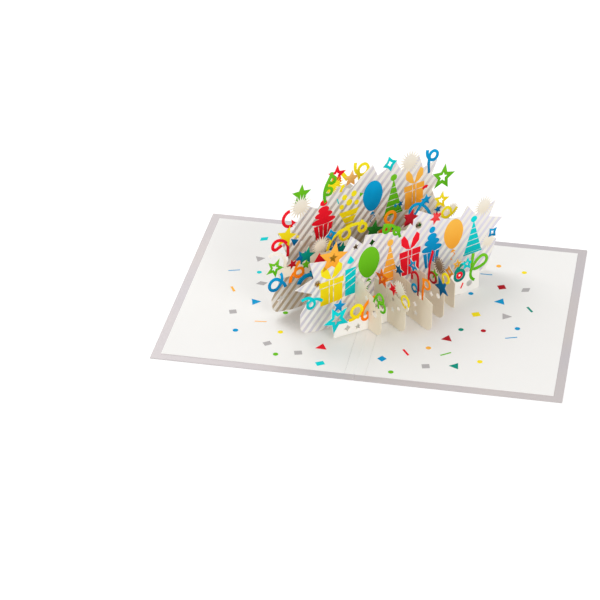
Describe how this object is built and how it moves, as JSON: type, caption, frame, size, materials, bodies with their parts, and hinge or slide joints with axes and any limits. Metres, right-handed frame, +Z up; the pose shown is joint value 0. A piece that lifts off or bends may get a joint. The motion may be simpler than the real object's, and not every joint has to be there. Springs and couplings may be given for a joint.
{
  "type": "pop up card",
  "caption": "Pop-up greeting card lying open: a folded silver cover lined with white pages, and a slotted lattice of striped and white paper sheets with stars and curls standing over the fold.",
  "frame": {"origin": "centre of the open card's underside, on the fold", "axes": "+X right across both pages, +Y back along the fold, +Z up out of the pages"},
  "size_m": [0.254, 0.1778, 0.0925],
  "materials": {
    "silver_card": "satin silver foil",
    "page_paper": "matte",
    "striped_card": "matte with silver stripes",
    "white_card": "matte"
  },
  "bodies": {
    "root": {"cover": "silver_card", "left_page": "page_paper", "right_page": "page_paper", "gutter_strip": "page_paper", "front_panel": "white_card", "front_striped_panel": "striped_card", "middle_panel": "white_card", "rear_striped_panel": "striped_card", "back_panel": "white_card", "cross_panel_1": "white_card", "cross_panel_2": "white_card", "cross_panel_3": "white_card", "cross_panel_4": "white_card", "cross_panel_5": "white_card"}
  },
  "joints": []
}
